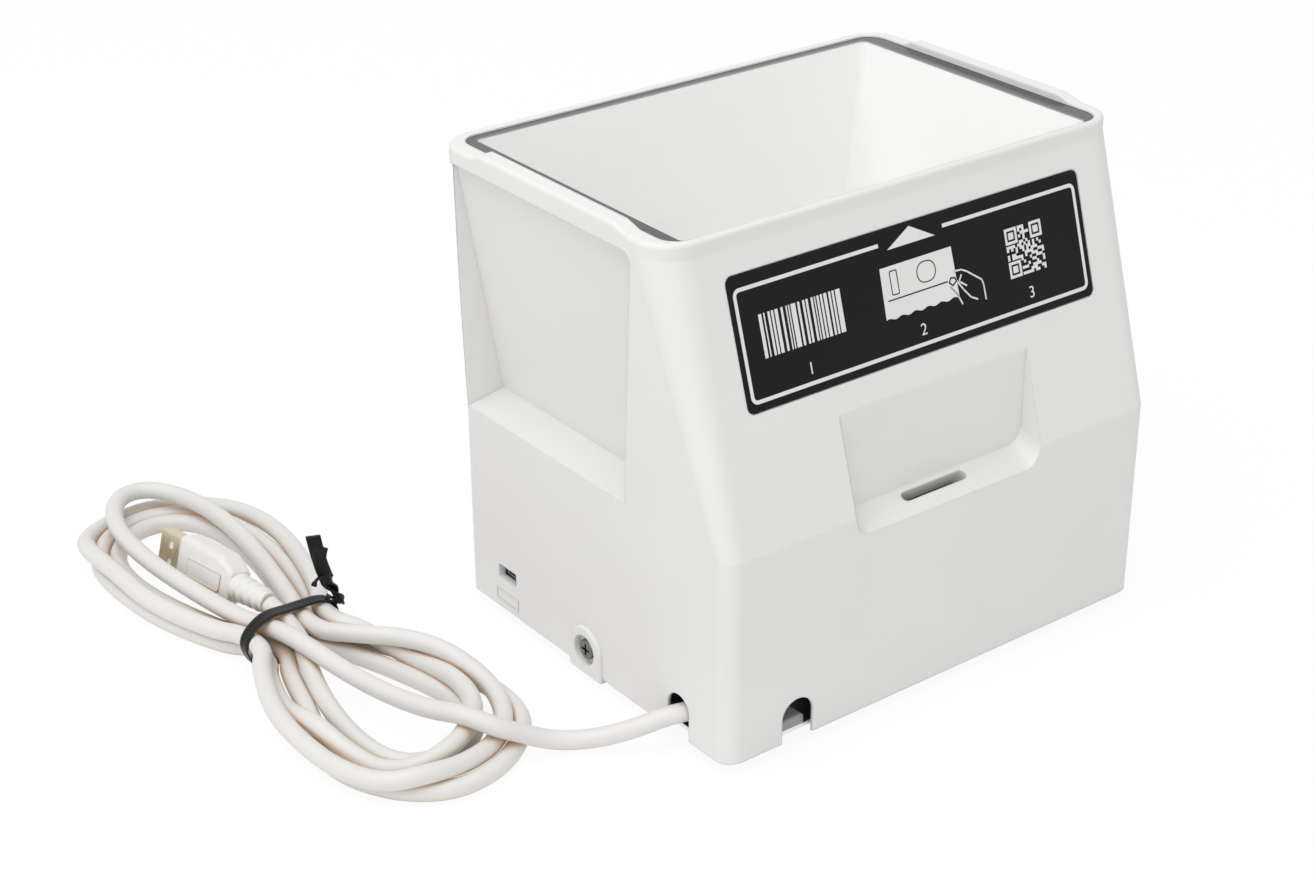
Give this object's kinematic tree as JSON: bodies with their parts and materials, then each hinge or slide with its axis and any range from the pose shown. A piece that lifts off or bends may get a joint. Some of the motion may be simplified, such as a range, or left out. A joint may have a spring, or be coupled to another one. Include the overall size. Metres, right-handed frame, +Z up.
{
  "type": "travel document scanner",
  "caption": "Desk-top travel document scanner: pale moulded cover with glass window, rim rails, side grips and front pocket over a steel base, with a coiled cord and plug.",
  "frame": {"origin": "on the table under the middle of the scanner itself, without its cord", "axes": "+X along the front face to the right, +Y from the front face to the back, +Z up"},
  "size_m": [0.2352, 0.2198, 0.1395],
  "materials": {
    "cover_plastic": "fine matt moulding",
    "clear_glass": "polished",
    "black_foam": "matt black",
    "white_plastic": "matt white",
    "black_film": "satin film",
    "dark_steel": "dark coating",
    "foot_rubber": "matt rubber",
    "screw_steel": "bright plated",
    "brass_standoff": "turned",
    "green_board": "solder mask",
    "black_chip": "moulded black",
    "lens_metal": "black anodised",
    "ribbon_film": "amber film",
    "light_lens": "clear resin over phosphor",
    "cord_sleeve": "soft satin sleeve",
    "clear_nylon": "translucent nylon",
    "tie_plastic": "glossy film over wire",
    "plug_metal": "nickel plated",
    "gold_contact": "gold plated"
  },
  "bodies": {
    "base": {"base_plate": "dark_steel", "cover_catches": "dark_steel", "rubber_feet": "foot_rubber", "board_standoffs": "brass_standoff", "main_board": "green_board", "board_screws": "screw_steel", "board_chips": "black_chip", "sounder": "black_chip", "camera_spacers": "white_plastic", "camera_board": "green_board", "camera_screws": "screw_steel", "image_sensor": "black_chip", "lens_holder": "black_chip", "lens_barrel": "lens_metal", "lens_glass": "clear_glass", "camera_ribbon": "ribbon_film", "tray_posts": "brass_standoff", "optics_tray": "white_plastic", "tray_screws": "screw_steel", "light_strip_left": "white_plastic", "strip_lights_left": "light_lens", "light_strip_right": "white_plastic", "strip_lights_right": "light_lens", "cord": "cord_sleeve", "cord_socket": "white_plastic", "cord_connector": "white_plastic", "cord_saddle": "clear_nylon", "cord_clamp": "clear_nylon", "clamp_screw": "screw_steel", "cord_hank": "cord_sleeve", "twist_tie": "tie_plastic", "plug_shell": "plug_metal", "plug_tongue": "white_plastic", "plug_contacts": "gold_contact", "plug_overmould": "cord_sleeve", "plug_relief": "cord_sleeve"},
    "cover": {"outer_cover": "cover_plastic", "window_glass": "clear_glass", "window_gasket": "black_foam", "light_box": "white_plastic", "front_label": "black_film", "cover_nuts": "screw_steel"},
    "left_screw": {"cover_screw_left": "screw_steel"},
    "right_screw": {"cover_screw_right": "screw_steel"}
  },
  "joints": [
    {"name": "cover_lift", "type": "slide", "parent": "base", "child": "cover", "axis": [0, 0, 1], "range_m": [0, 0.15]},
    {"name": "left_screw_turn", "type": "hinge", "parent": "cover", "child": "left_screw", "pos_m": [-0.0729, 0.0003, 0.0093], "axis": [-1, 0, 0], "continuous": true},
    {"name": "right_screw_turn", "type": "hinge", "parent": "cover", "child": "right_screw", "pos_m": [0.0729, 0.0003, 0.0093], "axis": [1, 0, 0], "continuous": true}
  ]
}
